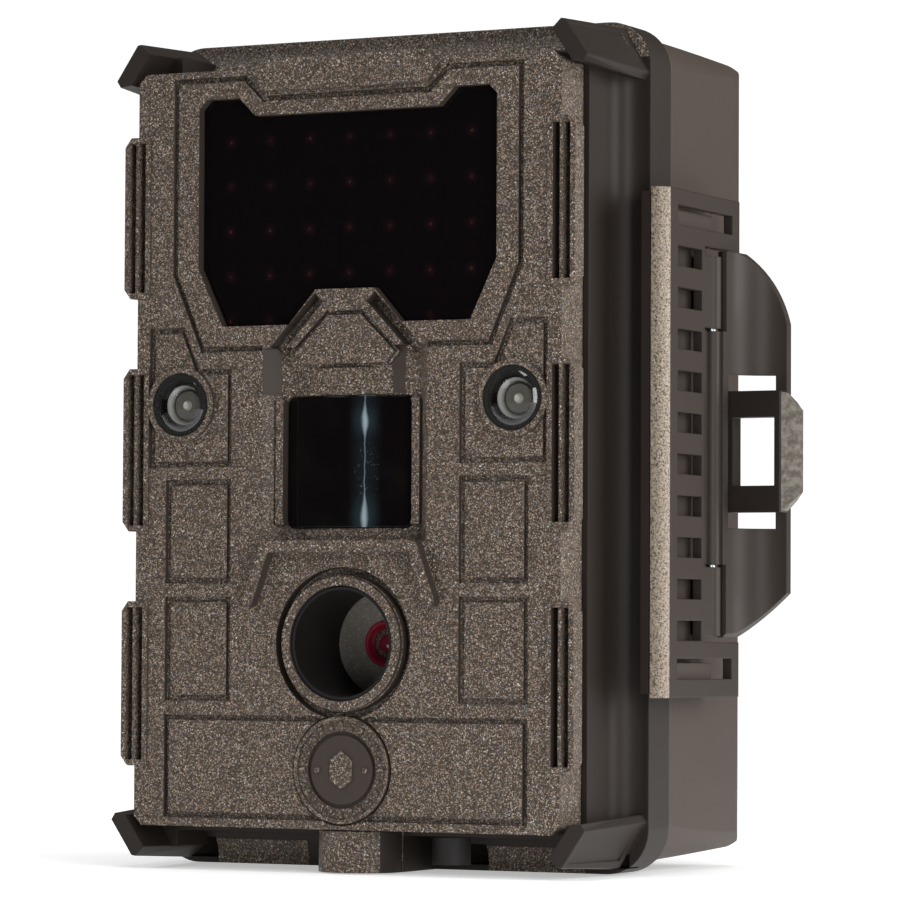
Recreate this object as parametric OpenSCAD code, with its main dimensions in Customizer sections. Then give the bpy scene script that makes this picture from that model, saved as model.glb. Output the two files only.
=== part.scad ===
// Trail camera: hinged two-half case with electronics, battery pack and side latch.
// Millimetres. Origin at the mouth of the tripod socket, front faces -Y, +Z up.

/* [Case] */
// Width across the rim where the two halves meet
case_w = 92; // [91:0.5:93]
// Height of the rim, which is the height of the whole camera
case_h = 140; // [139:0.5:142]
// Depth of the rim of the front half
rim_depth = 8; // [7:0.5:9]
// Distance from the socket axis to the plane where the halves meet
parting_y = 20; // [20:0.1:20.5]
// Depth of the rear half behind that plane
rear_depth = 35; // [34:0.5:36]
// Wall thickness of both shells
wall = 2.2; // [2:0.1:2.5]
// Gap between parts that move past each other
gap = 0.3; // [0.25:0.05:0.4]

/* [Faceplate] */
// Width of the painted faceplate
plate_w = 79; // [78:0.5:79.5]
// Height of the painted faceplate
plate_h = 126; // [125:0.5:126.5]
// Height of its lower edge above the base
plate_z = 7; // [6.5:0.1:7.5]
// Distance from the socket axis forward to its face
plate_reach = 8; // [7.5:0.1:8.5]
// Depth of the grooves drawn in it
groove_depth = 0.9; // [0.5:0.1:1.2]

/* [Optics] */
// Height of the camera lens above the base
lens_z = 37.5; // [37:0.1:38]
// Radius of the opening in front of the lens
lens_r = 9.4; // [9:0.1:9.6]
// Width of the motion sensor's window
pir_w = 23.8; // [22:0.1:24]
// Distance between neighbouring infrared lamps
lamp_pitch = 7.5; // [7:0.1:7.6]

/* [Latch] */
// Height of the hook plate
hook_h = 83.1; // [83:0.1:83.4]
// Height of its lower end above the base
hook_z = 28.9; // [28.7:0.1:29]
// Outer face of the hook plate from the centre of the case
hook_x = 51; // [50.9:0.1:51.2]
// Radius of the lever's pin
lever_pin_r = 0.9; // [0.8:0.05:0.95]

/* [Mounting] */
// Radius of the tripod thread
tripod_r = 3.175; // [3.1:0.005:3.2]
// Depth of the tripod thread
tripod_depth = 6.5; // [6:0.1:6.6]
// Width of the strap that the slots take
strap_w = 25; // [20:1:26]

/* [Batteries] */
// Diameter of one cell
cell_d = 14.2; // [13.5:0.1:14.5]
// Length of one cell
cell_l = 50.5; // [49:0.1:50.5]

/* [Hidden] */
$fn = 64;

paint = "#5f5449";
smooth_brown = "#3a322d";
black_gloss = "#0c0a0b";
board_green = "#1f5a37";
metal = "#b9bcc0";

front_y = -plate_reach;
plate_t = 3;
plate_back = front_y + plate_t;
skirt_y = 0;
skirt_t = 1.2;
plate_half = plate_w / 2;
plate_top = plate_z + plate_h;
core_half = plate_half - skirt_t - 0.1;
core_z0 = plate_z + skirt_t + 0.1;
core_z1 = plate_top - skirt_t - 0.1;
core_front = plate_back + 0.1;
side_half = 40.5;
side_z0 = 6;
side_z1 = 134;
cove_r = 4.5;
rim_half = case_w / 2;
rim_y = parting_y - rim_depth;
rim_r = 7.5;
cavity_half = 37.6;
cavity_z0 = 9;
cavity_z1 = 131;
rear_half = [45.5, 44.9];
rear_mid_z = 70.1;
rear_high = [68.6, 67];
rear_y0 = parting_y + gap;
rear_y1 = parting_y + rear_depth;
rear_r = 5;
hinge_x = -49;
hinge_r = 2.5;
hinge_pin_r = 1.2;
front_knuckles = [[20, 38], [62, 78], [102, 120]];
rear_knuckles = [[38.4, 61.6], [78.4, 101.6]];
pivot_x = 47.8;
pivot_y = 14.5;
pivot_r = 1.35;
barrel_x = 50;
barrel_y = 27.8;
barrel_r = 1.65;
hook_pin_r = 0.8;
hook_t = 1.6;
hook_y0 = 7.2;
hook_mid_y = 22.9;
hook_end_y = 37.2;
hook_top = hook_z + hook_h;
notch_z = [38, 103.4];
hook_knuckles = [[39, 50.4], [90, 102]];
lever_knuckle = [50.8, 89.6];
lug_ranges = [[30, 34.6], [104.4, 109]];
flap_r = 8;
flap_t = 1.8;
flap_x = 59.3;
flap_y = 31;
flap_top = 103.1;
flap_bottom = 38.8;
slot_z = [57, 82.7];
slot_x = 57.4;
staple_z = [59.6, 79.8];
staple_y = 31;
staple_t = 3.2;
eye_z = [64, 75.4];
eye_x = [52.6, 60];
dome_x = 30.9;
dome_z = 77.2;
dome_r = 5.2;
pir_z = [56.5, 78.1];
pir_bow = 24;
pir_axis_y = front_y + pir_bow - 0.3;
trough_z = [54.2, 86.3];
badge_z = 16.8;
badge_r = 8.8;
panel_y0 = 15.2;
panel_y1 = 17.2;
board_y = 8;
board_t = 1.6;
key_pitch = 9.5;
key_x = -14;
key_z = 62;
key_r = 3.4;
key_top = 18.9;
lcd = [-19, 19, 84, 116];
lcd_frame = 2;
louvre_ranges = [[16.9, 44.4], [56.1, 83.4], [95.2, 122.4]];
bracket_half = 31;
bracket_z = [16, 124];
bracket_t = 2.5;
rib_y1 = rear_y1 + bracket_t + 7.5;
rib_x = [23, 29];
cable_r = 3.5;
cable_y = rear_y1 + bracket_t + 4.5;
cable_z = 70;
strap_z = 28;
slot_depth = 4.8;
dc_at = [13.5, 5.2];
boss_top = 6.8;
panel_posts = [[-33.5, 22], [33.5, 60], [-33.5, 118], [33.5, 118]];
board_post_x = 31;
board_post_z = [16, 124];
cover_post = [35, 20, 120];
switch_x = -24;
filter_travel = 5.4;
spring_x = [27.5, 32.5];
spring_z = 104;
bracket_screw_x = [-17, 17];
bracket_screw_z = [30, 110];
pir_mid_z = 67.3;
window_mid_z = 110;
lens_floor = 7.2;
tray_half = 31.6;
cell_y = 41;
cell_pitch = 15;
cell_rows = [17, 72.5];

// Half an outline, mirrored about x = 0 into a closed one
function both_sides(half) = concat(half,
    [for (i = [len(half) - 1:-1:0]) if (half[i][0] > 0) [-half[i][0], half[i][1]]]);

window_half = [[0, 125.1], [17.1, 125.1], [20.2, 128.2], [26.3, 128.2], [27.8, 126.7], [27.8, 99.9],
    [23.1, 90.1], [10.5, 90.1], [5.5, 95.8], [0, 95.8]];
bezel_half = [[0, 127.9], [15.4, 127.9], [19, 131.4], [32.2, 131.4], [32.2, 99], [26.8, 86.3],
    [15.9, 86.3]];
house_half = [[0, 91.8], [3.2, 91.8], [9.8, 85.3], [8, 83.1], [0, 83.1]];
chevron_half = [[5.6, 93.6], [12.3, 86.6]];
tab_half = [[0, 134.4], [15.4, 134.4], [17.5, 132.1], [15.4, 129], [0, 129]];
dome_panel = [[36.6, 89.6], [30.7, 89.6], [27.7, 82.6], [21.7, 82.6], [21.7, 67.2], [36.6, 67.2]];
visor_half = [[16.9, 44.4], [13.7, 53.4], [-1, 53.4]];

// ---- shared shapes ----

module along_y(y0, y1) {
    translate([0, y1, 0]) rotate([90, 0, 0]) linear_extrude(y1 - y0) children();
}
module along_x(x0, x1) {
    translate([x0, 0, 0]) rotate([90, 0, 90]) linear_extrude(x1 - x0) children();
}
module along_z(z0, z1) {
    translate([0, 0, z0]) linear_extrude(z1 - z0) children();
}
module box(x, y, z) {
    translate([x[0], y[0], z[0]]) cube([x[1] - x[0], y[1] - y[0], z[1] - z[0]]);
}
module rod_y(x, z, y0, y1, r) {
    translate([x, y1, z]) rotate([90, 0, 0]) cylinder(r = r, h = y1 - y0);
}
module rod_z(x, y, z0, z1, r) {
    translate([x, y, z0]) cylinder(r = r, h = z1 - z0);
}
module rod_x(y, z, x0, x1, r) {
    translate([x0, y, z]) rotate([0, 90, 0]) cylinder(r = r, h = x1 - x0);
}
module rounded(x, z, r) {
    translate([x[0] + r, z[0]]) square([x[1] - x[0] - 2 * r, z[1] - z[0]]);
    translate([x[0], z[0] + r]) square([x[1] - x[0], z[1] - z[0] - 2 * r]);
    for (cx = [x[0] + r, x[1] - r], cz = [z[0] + r, z[1] - r]) translate([cx, cz]) circle(r);
}
module chamfered(x, z, c) {
    polygon([[x[0] + c, z[0]], [x[1] - c, z[0]], [x[1], z[0] + c], [x[1], z[1] - c],
        [x[1] - c, z[1]], [x[0] + c, z[1]], [x[0], z[1] - c], [x[0], z[0] + c]]);
}
module left_and_right() {
    children();
    mirror([1, 0, 0]) children();
}
module top_and_bottom() {
    children();
    translate([0, 0, case_h]) mirror([0, 0, 1]) children();
}
// Straight strokes of one width along a list of points, seen from the front
module strokes(points, width, y0, y1) {
    for (i = [0:len(points) - 2]) {
        a = points[i];
        b = points[i + 1];
        translate([a[0], 0, a[1]]) rotate([0, -atan2(b[1] - a[1], b[0] - a[0]), 0])
            translate([-width / 2, y0, -width / 2])
                cube([norm(b - a) + width, y1 - y0, width]);
    }
}
// The same strokes with round ends and corners
module ridge(points, width, y0, y1) {
    for (i = [0:len(points) - 2]) {
        a = points[i];
        b = points[i + 1];
        rod_y(a[0], a[1], y0, y1, width / 2 - 0.06);
        translate([a[0], 0, a[1]]) rotate([0, -atan2(b[1] - a[1], b[0] - a[0]), 0])
            box([0, norm(b - a)], [y0, y1], [-width / 2, width / 2]);
    }
}
module groove(points, width = 0.9, depth = groove_depth) {
    strokes(points, width, front_y - 1, front_y + depth);
}
module closed_groove(points, width = 0.9, depth = groove_depth) {
    groove(concat(points, [points[0]]), width, depth);
}
function rect_points(x, z) = [[x[0], z[0]], [x[1], z[0]], [x[1], z[1]], [x[0], z[1]]];
module screw_y(x, z, y0, y1, r, head_r, head_h) {
    difference() {
        union() {
            rod_y(x, z, y0, y1, r);
            rod_y(x, z, y1 - head_h, y1, head_r);
        }
        strokes_cross(x, z, y1 - head_h / 2, y1 + 1, head_r);
    }
}
module strokes_cross(x, z, y0, y1, r) {
    box([x - r * 0.6, x + r * 0.6], [y0, y1], [z - 0.25, z + 0.25]);
    box([x - 0.25, x + 0.25], [y0, y1], [z - r * 0.6, z + r * 0.6]);
}

// ---- front half ----

module cove_sides() {
    left_and_right() along_z(rim_r, case_h - rim_r)
        difference() {
            translate([side_half - 0.5, rim_y - cove_r]) square([cove_r + 0.5, cove_r + 0.5]);
            translate([side_half + cove_r, rim_y - cove_r]) circle(cove_r);
        }
    top_and_bottom() along_x(-rim_half + rim_r, rim_half - rim_r)
        difference() {
            translate([rim_y - cove_r, case_h - side_z1 - cove_r])
                square([cove_r + 0.5, cove_r + 0.5]);
            translate([rim_y - cove_r, case_h - side_z1 - cove_r]) circle(cove_r);
        }
}
module corner_horn() {
    flare = 1.7;
    difference() {
        hull() {
            along_y(front_y, front_y + 0.1)
                polygon([[41.2, 131.4], [43.2, 131.1], [43.9, 132.2], [39.9, 138.1], [39.2, 138.2],
                    [37.6, 136.6]]);
            along_y(rim_y, rim_y + 1)
                polygon([[40.2, 130.9], [44.9, 130.1], [45.7, 131.4], [41.4, 138.8], [39.6, 139.2],
                    [36.6, 137]]);
        }
        translate([41.9, front_y, 135.15]) rotate([0, 0, -atan2(flare, rim_y - front_y)])
            rotate([0, 55.9, 0]) box([-2.9, 2.9], [1, rim_y - front_y - 2.4], [-0.1, 3]);
    }
    along_y(skirt_y + 0.4, rim_y + 1)
        polygon([[38, 131.5], [42.2, 131.5], [41.2, 134.8], [39, 136.9], [36, 136.9], [36, 133]]);
}
module catch_rib() {
    z = [hook_z + 0.6, hook_top - 0.6];
    box([46.4, 48], [rim_y - 4.5, rim_y + 0.8], z);
    box([45, 47.9], [rim_y - 0.8, rim_y + 0.8], z);
}
module tripod_boss() {
    rod_z(0, -0.9, 0, boss_top, 7.1);
    intersection() {
        rod_z(0, 0, 0, side_z0 + 4, 6.2);
        box([-7, 7], [-4.8, 7], [0, side_z0 + 4]);
    }
    box([-7.2, 7.2], [0, rim_y + 1], [0, side_z0 + 1]);
}
module rim_recesses() {
    z = [1, side_z0 - 0.4];
    left_and_right() box([34.6, 42.6], [rim_y - 1, rim_y + 4], z);
    box([7.6, 17], [rim_y - 1, rim_y + 4], z);
}
module front_solid() {
    along_y(core_front, skirt_y + 0.4) chamfered([-core_half, core_half], [core_z0, core_z1], 1);
    along_y(skirt_y + 0.2, rim_y + 1) chamfered([-side_half, side_half], [side_z0, side_z1], 2);
    cove_sides();
    along_y(rim_y, parting_y) rounded([-rim_half, rim_half], [0, case_h], rim_r);
    top_and_bottom() left_and_right() corner_horn();
    catch_rib();
    for (k = front_knuckles) {
        rod_z(hinge_x, parting_y, k[0], k[1], hinge_r);
        box([hinge_x, -rim_half + 1], [parting_y - 5, parting_y], k);
    }
}
module front_cavity() {
    along_y(core_front + 2, parting_y + 1)
        chamfered([-core_half + wall, core_half - wall], [core_z0 + wall, core_z1 - wall], 1);
    along_y(skirt_y + 2.4, parting_y + 1)
        chamfered([-cavity_half, cavity_half], [cavity_z0, cavity_z1], 2);
}
module window_outline(share) {
    translate([0, window_mid_z]) scale([share, share]) translate([0, -window_mid_z])
        polygon(both_sides(window_half));
}
module front_openings() {
    along_y(core_front - 1, core_front + 3)
        window_outline(0.94);
    box([-pir_w / 2 + 0.2, pir_w / 2 - 0.2], [core_front - 1, core_front + 3],
        [pir_z[0] + 0.2, pir_z[1] - 0.2]);
    rod_y(0, lens_z, core_front - 1, core_front + 3, lens_r + 0.3);
    for (s = [-1, 1]) rod_y(s * dome_x, dome_z, core_front - 1, core_front + 3, 3.6);
    rod_z(dc_at[0], dc_at[1], -1, cavity_z0 + 1, 2.5);
    rod_z(0, 0, -1, tripod_depth + 1.5, 4.4);
    rim_recesses();
    rod_z(hinge_x, parting_y, 0, case_h, hinge_pin_r + 0.06);
}
module gasket_groove(inset) {
    along_y(parting_y - 2 - inset, parting_y + 1)
        difference() {
            rounded([-43.2 - inset, 43.2 + inset], [2.8 - inset, case_h - 2.8 + inset], 5 + inset);
            rounded([-41.2 + inset, 41.2 - inset], [4.8 + inset, case_h - 4.8 - inset], 3.5 - inset);
        }
}
module board_posts() {
    left_and_right() for (z = board_post_z) rod_y(board_post_x, z, core_front + 1.5, board_y, 3);
    for (p = panel_posts) rod_y(p[0], p[1], core_front + 1.5, panel_y0, 2.6);
}
module front_housing() {
    color(smooth_brown) difference() {
        union() {
            difference() {
                front_solid();
                front_cavity();
            }
            board_posts();
            tripod_boss();
        }
        front_openings();
        gasket_groove(0.05);
        left_and_right() for (z = board_post_z) rod_y(board_post_x, z, 0, board_y + 1, 1);
        for (p = panel_posts) rod_y(p[0], p[1], 6, panel_y0 + 1, 1);
    }
}
module louvre_slots(z) {
    for (x = [[38, 39.25], [39.85, 41.1]]) box(x, [front_y - 1, front_y + 2.2], [z[0] + 1, z[1] - 1]);
}
module louvre_block(z) {
    difference() {
        along_y(front_y - 0.3, plate_back)
            polygon([[37, z[0]], [40.8, z[0]], [42, z[0] + 1.6], [42, z[1] - 1.6], [40.8, z[1]],
                [37, z[1]]]);
        louvre_slots(z);
    }
}
module plate_outline(inset = 0) {
    chamfered([-plate_half + inset, plate_half - inset], [plate_z + inset, plate_top - inset], 1.5);
}
module plate_relief() {
    along_y(front_y - 0.7, front_y + 1) polygon(both_sides(tab_half));
    left_and_right() ridge(visor_half, 2, front_y - 2.1, front_y + 1);
    left_and_right() box([11.8, 13.4], [front_y + 1.1, plate_back], [pir_z[0] + 0.5, pir_z[1] - 0.5]);
    rod_y(0, lens_z, front_y - 0.8, front_y + 1, 11);
    left_and_right() rod_y(dome_x, dome_z, front_y - 0.4, front_y + 1, dome_r + 1.1);
}
module plate_openings() {
    along_y(front_y - 2, plate_back + 1) polygon(both_sides(window_half));
    along_y(front_y - 2, plate_back + 1)
        rounded([-pir_w / 2 - 0.1, pir_w / 2 + 0.1], [pir_z[0] - 0.1, pir_z[1] + 0.1], 1.6);
    rod_y(0, lens_z, front_y - 2, plate_back + 1, lens_r + 0.1);
    rod_y(0, badge_z, front_y - 2, front_y + 1, badge_r + 0.3);
    left_and_right() rod_y(dome_x, dome_z, front_y - 2, plate_back + 1, dome_r + 0.1);
}
module panel_recess(points) {
    along_y(front_y - 2, front_y + 0.35) polygon(points);
    closed_groove(points);
}
module plate_grooves() {
    left_and_right() {
        groove(bezel_half);
        groove(chevron_half, 2.2, 2.6);
        panel_recess(dome_panel);
        panel_recess(rect_points([21.7, 33.3], [47.8, 64.2]));
        panel_recess(rect_points([21.7, 33.3], [28.3, 44.7]));
    }
    closed_groove(both_sides(house_half), 0.7);
    difference() {
        closed_groove(rect_points([-33.3, 33.3], [8.9, 25.1]));
        rod_y(0, lens_z, front_y - 3, front_y + 3, 13);
    }
    difference() {
        rod_y(0, lens_z, front_y - 2, front_y + 2, 12.5);
        rod_y(0, lens_z, front_y - 3, front_y + 3, 11.2);
    }
    pir_trough();
}
module pir_trough() {
    difference() {
        along_z(trough_z[0], trough_z[1])
            polygon([[-15.3, front_y], [-13, front_y + 2.4], [13, front_y + 2.4], [15.3, front_y],
                [15.3, front_y - 2], [-15.3, front_y - 2]]);
        rod_z(0, pir_axis_y, 0, case_h, pir_bow - 0.4);
        along_y(front_y - 3, front_y + 3) polygon(both_sides(house_half));
    }
}
module faceplate() {
    color(paint) difference() {
        union() {
            difference() {
                union() {
                    along_y(front_y, skirt_y) plate_outline();
                    left_and_right() for (z = louvre_ranges) louvre_block(z);
                }
                along_y(plate_back, skirt_y + 1) plate_outline(skirt_t);
                plate_grooves();
                left_and_right() for (z = louvre_ranges) louvre_slots(z);
            }
            plate_relief();
        }
        plate_openings();
        box([-6.6, 6.6], [plate_back, skirt_y + 1], [plate_z - 1, plate_z + skirt_t + 0.1]);
    }
}
module badge() {
    color(paint) difference() {
        union() {
            rod_y(0, badge_z, front_y - 0.1, front_y + 1, badge_r);
            difference() {
                rod_y(0, badge_z, front_y - 0.4, front_y, badge_r);
                rod_y(0, badge_z, front_y - 1, front_y + 1, badge_r - 0.7);
            }
            for (s = [-1, 1]) rod_y(s * 4.4, badge_z, front_y - 0.4, front_y, 0.5);
            along_y(front_y - 0.4, front_y)
                polygon([for (i = [0:5]) [2.4 * cos(60 * i + 30), badge_z + 3.2 * sin(60 * i + 30)]]);
            for (i = [0:23]) translate([0, 0, badge_z]) rotate([0, i * 15, 0])
                box([-0.35, 0.35], [front_y - 0.4, front_y], [6.6, i % 2 == 0 ? 7.9 : 7.3]);
        }
        difference() {
            rod_y(0, badge_z, front_y - 1, front_y + 0.4, 6.3);
            rod_y(0, badge_z, front_y - 2, front_y + 1, 5.7);
        }
    }
}
module ir_window() {
    color(black_gloss) along_y(front_y + 1.6, plate_back)
        window_outline(0.992);
}
module pir_window() {
    half = pir_w / 2;
    color(black_gloss) intersection() {
        along_z(pir_z[0], pir_z[1]) translate([0, pir_axis_y]) difference() {
            circle(pir_bow, $fn = 128);
            circle(pir_bow - 1.2, $fn = 128);
        }
        along_y(front_y - 1, plate_back + 0.05) rounded([-half, half], pir_z, 1.5);
    }
}
module indicator_lens(side) {
    x = side * dome_x;
    color("#c8c4bc", 0.6) difference() {
        union() {
            rod_y(x, dome_z, front_y - 0.2, plate_back + 0.05, dome_r);
            intersection() {
                translate([x, front_y + 5.2, dome_z]) sphere(r = 7, $fn = 64);
                rod_y(x, dome_z, front_y - 2, front_y + 1, dome_r - 0.6);
            }
        }
        rod_y(x, dome_z, front_y + 1, plate_back + 1, 3.4);
    }
}
module indicator_lens_left() { indicator_lens(-1); }
module indicator_lens_right() { indicator_lens(1); }
module indicator_leds() {
    color("#d8a63a") for (s = [-1, 1]) {
        rod_y(s * dome_x, dome_z, front_y + 2.2, -1.2, 2.4);
        box([s * dome_x - 4, s * dome_x + 4], [-1.2, 0], [dome_z - 4, dome_z + 4]);
    }
}
module ir_led_board() {
    color(board_green) along_y(-1.2, 0.4) chamfered([-27, 27], [91.5, 127.5], 2);
}
module ir_leds() {
    color("#5a1d24") {
        for (i = [-3:3], z = [98.5, 106, 113.5, 121]) {
            rod_y(i * lamp_pitch, z, -3.6, -1.25, 1.5);
            rod_y(i * lamp_pitch, z, -2, -1.25, 1.8);
        }
    }
}
module pir_sensor() {
    color(metal) difference() {
        union() {
            rod_y(0, pir_mid_z, 0.6, 5, 4.1);
            rod_y(0, pir_mid_z, 4.2, 5, 4.6);
            for (x = [-1.6, 1.6]) rod_y(x, pir_mid_z, 5, board_y - 0.1, 0.3);
        }
        box([-2, 2], [0, 1], [pir_mid_z - 1.5, pir_mid_z + 1.5]);
    }
}
module lens_tube() {
    color(black_gloss) difference() {
        rod_y(0, lens_z, front_y - 0.4, lens_floor + 1.2, lens_r);
        rod_y(0, lens_z, front_y - 1, lens_floor, lens_r - 0.6);
        rod_y(0, lens_z, lens_floor - 1, lens_floor + 2, 3.9);
    }
}
module lens_holder() {
    color("#1b1b1d") difference() {
        box([-9, 9], [lens_floor + 1.3, 11], [lens_z - 9, lens_z + 9]);
        rod_y(0, lens_z, lens_floor, 12, 6);
    }
}
module lens_barrel() {
    color("#8c1220") difference() {
        union() {
            rod_y(0, lens_z, lens_floor + 1.3, 10.9, 6);
            rod_y(0, lens_z, lens_floor - 0.2, lens_floor + 1.3, 3.8);
        }
        rod_y(0, lens_z, lens_floor - 1, 12, 2.6);
        translate([0, lens_floor + 1.4, lens_z]) rotate([90, 0, 0]) cylinder(r1 = 2.4, r2 = 3.3, h = 1.7);
    }
}
module lens_glass() {
    color("#7a1626") intersection() {
        translate([0, lens_floor + 4.4, lens_z]) sphere(r = 4.2, $fn = 64);
        rod_y(0, lens_z, lens_floor - 0.3, lens_floor + 2.7, 2.55);
    }
}
module ir_filter() {
    color("#3d7f8c") difference() {
        box([-3.2, 8.4], [11.5, 12.3], [lens_z - 3.5, lens_z + 3.5]);
        rod_y(filter_travel, lens_z, 11, 13, 2.4);
    }
}
module filter_frame() {
    color("#242426") difference() {
        box([-9.8, 9.5], [11.1, 12.8], [lens_z - 6, lens_z + 6]);
        box([-9, 8.7], [11.4, 12.4], [lens_z - 3.8, lens_z + 3.8]);
        rod_y(0, lens_z, 10, 14, 3);
    }
}
module image_sensor_board() {
    color(board_green) {
        box([-9.6, 9.6], [13.4, 14.4], [lens_z - 8, lens_z + 8]);
        box([-4, 4], [12.9, 13.4], [lens_z - 3.5, lens_z + 3.5]);
    }
}
module main_board() {
    color(board_green) difference() {
        union() {
            along_y(board_y, board_y + board_t) chamfered([-35, 35], [12.5, 127.5], 3);
            box([-24, -8], [board_y + board_t, board_y + 3.2], [72, 88]);
            box([6, 18], [board_y + board_t, board_y + 2.8], [66, 78]);
            for (z = [68, 90]) box([22, 31], [board_y + board_t, board_y + 2.6], [z, z + 7]);
        }
        box([-9.8, 9.8], [board_y - 1, board_y + 3], [lens_z - 9.8, lens_z + 9.8]);
        left_and_right() for (z = board_post_z) rod_y(board_post_x, z, 0, 12, 1.1);
        for (p = panel_posts) rod_y(p[0], p[1], 0, 12, 2.9);
    }
}
function key_places() = [[key_x, key_z + key_pitch], [key_x, key_z - key_pitch],
    [key_x - key_pitch, key_z], [key_x + key_pitch, key_z], [key_x, key_z],
    [key_x + 2.4 * key_pitch, key_z]];
module lcd_outline() {
    rounded([lcd[0] - lcd_frame, lcd[1] + lcd_frame], [lcd[2] - lcd_frame, lcd[3] + lcd_frame], 1.5);
}
module control_panel() {
    color(smooth_brown) difference() {
        union() {
            along_y(panel_y0, panel_y1) rounded([-cavity_half + 0.2, cavity_half - 0.2],
                [cavity_z0 + 0.2, cavity_z1 - 0.2], 3);
            along_y(panel_y1 - 0.1, panel_y1 + 0.8) difference() {
                rounded([lcd[0] - 5, lcd[1] + 5], [lcd[2] - 5, lcd[3] + 5], 3);
                rounded([lcd[0] - 3, lcd[1] + 3], [lcd[2] - 3, lcd[3] + 3], 2);
            }
        }
        box([lcd[0], lcd[1]], [panel_y0 - 1, panel_y1 + 2], [lcd[2], lcd[3]]);
        along_y(panel_y1 - 0.9, panel_y1 + 2)
            lcd_outline();
        for (k = key_places()) rod_y(k[0], k[1], panel_y0 - 1, panel_y1 + 1, key_r + gap);
        box([switch_x - 8, switch_x + 8], [panel_y0 - 1, panel_y1 + 1], [39.6, 44.4]);
        box([10.4, 36], [panel_y0 - 1, panel_y1 + 1], [11, 31]);
        box([-29.6, -19.6], [panel_y0 - 1, panel_y1 + 1], [11.6, 22]);
        for (p = panel_posts) rod_y(p[0], p[1], panel_y0 - 1, panel_y1 + 1, 1.2);
        for (x = spring_x) rod_y(x, spring_z, panel_y0 - 1, panel_y1 + 1, 1.7);
    }
}
module lcd_module() {
    color("#20242c") {
        box([lcd[0] - 2, lcd[1] + 2], [11.6, 14.9], [lcd[2] - 4, lcd[3] + 2]);
        box([-8, 8], [11.9, 12.4], [lcd[2] - 9, lcd[2] - 4]);
    }
}
module lcd_window() {
    color("#30343c") along_y(panel_y1 - 0.9, panel_y1)
        lcd_outline();
}
module key(index) {
    at = key_places()[index];
    color("#8d8a86") {
        rod_y(at[0], at[1], 14.2, key_top, key_r);
        rod_y(at[0], at[1], 13.2, 14.2, key_r + 1.2);
    }
}
module up_key() { key(0); }
module down_key() { key(1); }
module left_key() { key(2); }
module right_key() { key(3); }
module ok_key() { key(4); }
module menu_key() { key(5); }
module power_switch() {
    color("#2b2b2d") difference() {
        union() {
            box([switch_x - 3, switch_x + 3], [13.2, 14.6], [38.2, 45.8]);
            box([switch_x - 2.4, switch_x + 2.4], [14.6, 19.2], [40, 44]);
        }
        for (x = [-1.4, 0, 1.4]) box([switch_x + x - 0.2, switch_x + x + 0.2], [18.8, 20], [39, 45]);
    }
}
module sd_socket() {
    color(metal) difference() {
        box([10.2, 36.2], [10.4, 14.2], [31.5, 54.5]);
        box([11.1, 35.3], [11.1, 13.7], [31, 53.5]);
    }
}
module sd_card() {
    color("#24324e") along_y(11.4, 13.4)
        polygon([[11.2, 21], [35.2, 21], [35.2, 51], [33.2, 53], [11.2, 53]]);
}
module usb_socket() {
    color(metal) difference() {
        box([-28.6, -20.6], [9.7, 13.9], [12.6, 21]);
        box([-27.9, -21.3], [10.4, 13.2], [12, 19]);
    }
}
module dc_jack() {
    color("#1b1b1d") difference() {
        box([dc_at[0] - 4.2, dc_at[0] + 4.2], [2.6, board_y - 0.2], [cavity_z0 + 0.1, 20]);
        rod_z(dc_at[0], dc_at[1], 8, 18, 2.3);
    }
    color(metal) rod_z(dc_at[0], dc_at[1], 12, 18.5, 0.9);
}
module dc_plug() {
    color("#1d1a19") {
        rod_z(dc_at[0], dc_at[1], 1.2, side_z0 - 0.2, 3.2);
        rod_z(dc_at[0], dc_at[1], side_z0 - 0.4, 11.4, 2.2);
    }
}
module tripod_insert() {
    color("#c49a45") difference() {
        rod_z(0, 0, 0, tripod_depth + 1.5, 4.4);
        rod_z(0, 0, -1, tripod_depth, tripod_r);
    }
}
module spring_pins() {
    color("#c49a45") for (x = spring_x) {
        rod_y(x, spring_z, board_y + board_t + 1.1, 18, 1.5);
        rod_y(x, spring_z, 18, 20.3, 0.9);
    }
}
module panel_screws() {
    color(metal) for (p = panel_posts) screw_y(p[0], p[1], 8, panel_y1 + 1.4, 1, 1.9, 1.3);
}
module board_screws() {
    color(metal) left_and_right() for (z = board_post_z)
        screw_y(board_post_x, z, 2, board_y + board_t + 1.2, 1, 1.9, 1.1);
}
module case_gasket() {
    color("#161414") along_y(parting_y - 1.95, parting_y)
        difference() {
            rounded([-43.1, 43.1], [2.9, case_h - 2.9], 4.9);
            rounded([-41.3, 41.3], [4.7, case_h - 4.7], 3.6);
        }
}

// ---- rear half ----

// Outline that narrows from half[0] to half[1] towards the back, with rounded back corners
module tapered(half, inset) {
    r = rear_r - inset / 2;
    wide = half[0] - inset;
    narrow = half[1] - inset;
    y1 = rear_y1 - inset;
    polygon([[-wide, rear_y0], [wide, rear_y0], [narrow, y1 - r], [narrow - r, y1], [r - narrow, y1],
        [-narrow, y1 - r]]);
    for (side = [-1, 1]) translate([side * (narrow - r), y1 - r]) circle(r);
}
module rear_outer(inset) {
    half = rear_half[0] - inset;
    high = rear_high[0] - inset;
    intersection() {
        along_y(rear_y0, rear_y1 + 1)
            rounded([-half, half], [rear_mid_z - high, rear_mid_z + high], 7 - inset / 2);
        along_z(0, case_h) tapered(rear_half, inset);
        translate([0, 0, rear_mid_z]) along_x(-60, 60) mirror([1, -1]) tapered(rear_high, inset);
    }
}
module rear_flange() {
    along_y(rear_y0, rear_y0 + 2) rounded([-rim_half + 0.4, rim_half - 0.4], [0.4, case_h - 0.4], rim_r);
}
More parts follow.
